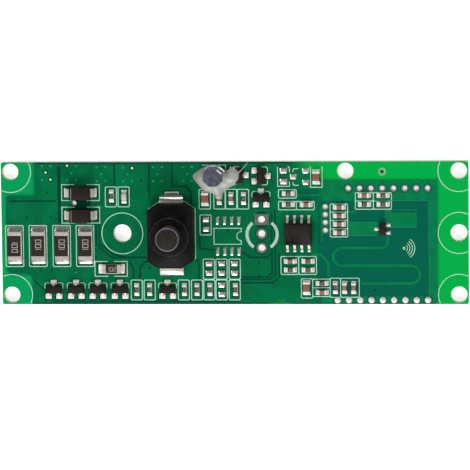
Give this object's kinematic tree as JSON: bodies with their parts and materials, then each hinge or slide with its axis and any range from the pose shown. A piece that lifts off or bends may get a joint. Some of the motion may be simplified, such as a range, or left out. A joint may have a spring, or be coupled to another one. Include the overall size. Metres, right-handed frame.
{
  "type": "microwave radar sensor and lamp control board",
  "caption": "Long green circuit board with a tall push switch, chip parts, glued inductor and a printed microwave radar section at one end.",
  "frame": {"origin": "centre of the board's underside", "axes": "+X along the board towards the radar section, +Y towards the edge with the glued inductor, +Z out of the component side"},
  "size_m": [0.083, 0.0254, 0.0115],
  "materials": {
    "laminate": "green solder mask over glass laminate, satin gloss",
    "masked_copper": "copper under green solder mask",
    "tin": "tinned, soft gloss",
    "solder": "reflowed solder, bright",
    "resistor_glaze": "black glaze on white ceramic",
    "capacitor_ceramic": "fired ceramic, satin",
    "white_ceramic": "matt",
    "indicator_resin": "clear to milky resin",
    "moulding_compound": "fine matt moulding",
    "ferrite": "matt",
    "copper_wire": "enamelled",
    "glue": "milky hot-melt glue",
    "switch_plastic": "satin moulding",
    "button_plastic": "fine matt moulding",
    "white_plastic": "natural nylon",
    "terminal_metal": "tinned sheet brass",
    "contact_brass": "rolled",
    "spring_steel": "drawn wire"
  },
  "bodies": {
    "board": {"circuit_board": "laminate", "via_rings": "tin", "sensor_barrels": "tin", "header_barrels": "tin", "header_solder": "solder", "programming_barrels": "tin", "antenna_via": "tin", "antenna_line": "masked_copper", "resonator_patch": "masked_copper", "feed_strip": "masked_copper", "bare_chip_pads": "tin", "bare_driver_pads": "tin", "bare_transistor_pads": "tin", "current_resistor_bodies": "resistor_glaze", "current_resistor_ends": "tin", "shunt_resistor_body": "resistor_glaze", "shunt_resistor_ends": "tin", "small_resistor_bodies": "resistor_glaze", "small_resistor_ends": "tin", "small_capacitor_bodies": "capacitor_ceramic", "small_capacitor_ends": "tin", "large_capacitor_bodies": "capacitor_ceramic", "large_capacitor_ends": "tin", "chip_solder": "solder", "indicator_base": "white_ceramic", "indicator_lens": "indicator_resin", "indicator_ends": "tin", "diode_bodies": "moulding_compound", "diode_leads": "tin", "transistor_bodies": "moulding_compound", "transistor_leads": "tin", "controller_body": "moulding_compound", "controller_leads": "tin", "radar_transistor_body": "moulding_compound", "radar_transistor_leads": "tin", "lead_solder": "solder", "inductor_core": "ferrite", "inductor_winding": "copper_wire", "inductor_terminals": "tin", "hot_glue": "glue", "switch_base": "switch_plastic", "switch_terminals": "terminal_metal", "switch_slot_plating": "tin", "switch_solder": "solder", "switch_housing": "switch_plastic", "switch_spring": "spring_steel"},
    "button": {"switch_button": "button_plastic", "switch_rotor": "white_plastic", "switch_contact": "contact_brass"}
  },
  "joints": [
    {"name": "button_press", "type": "slide", "parent": "board", "child": "button", "axis": [0, 0, -1], "range_m": [0, 0.0015], "stiffness_N_per_m": 900, "springref_m": -0.0015, "deforming": ["switch_spring"]}
  ]
}
